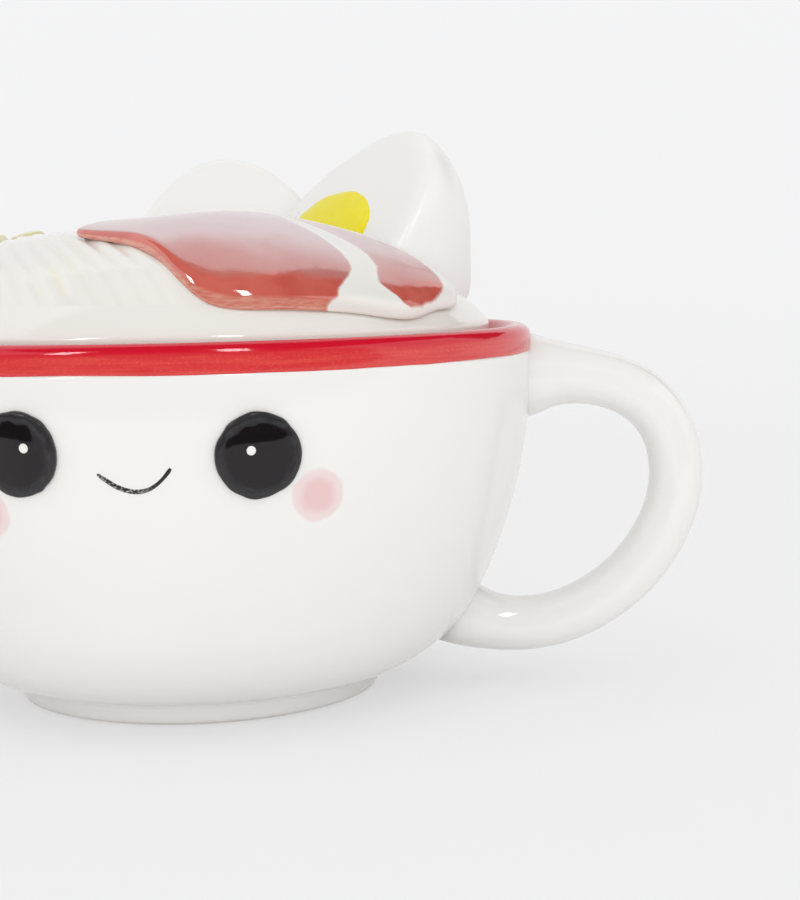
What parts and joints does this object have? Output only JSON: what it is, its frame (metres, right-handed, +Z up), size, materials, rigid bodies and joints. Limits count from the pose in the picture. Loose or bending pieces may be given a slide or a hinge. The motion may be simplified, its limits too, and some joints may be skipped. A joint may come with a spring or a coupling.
{
  "type": "lidded soup mug",
  "caption": "Wide glazed ceramic soup mug with a loop handle, a simple face and a domed lid that carries modelled noodles, pork, egg halves and spring onion.",
  "frame": {"origin": "middle of the foot ring, on the table", "axes": "+Z up the mug's axis, +X towards the handle, -Y towards the side with the face"},
  "size_m": [0.17, 0.136, 0.1121],
  "materials": {
    "white_glaze": "gloss",
    "red_glaze": "gloss",
    "black_glaze": "gloss",
    "pork_glaze": "gloss",
    "yolk_glaze": "gloss",
    "onion_glaze": "gloss"
  },
  "bodies": {
    "mug": {"bowl": "white_glaze", "rim_glaze": "red_glaze", "handle": "white_glaze", "eye_left": "black_glaze", "eye_right": "black_glaze"},
    "lid": {"lid_shell": "white_glaze", "noodles": "white_glaze", "pork": "pork_glaze", "egg_left": "white_glaze", "egg_right": "white_glaze", "yolk_left": "yolk_glaze", "yolk_right": "yolk_glaze", "spring_onion": "onion_glaze"}
  },
  "joints": [
    {"name": "lid_lift", "type": "slide", "parent": "mug", "child": "lid", "axis": [0, 0, 1], "range_m": [0, 0.1]}
  ]
}
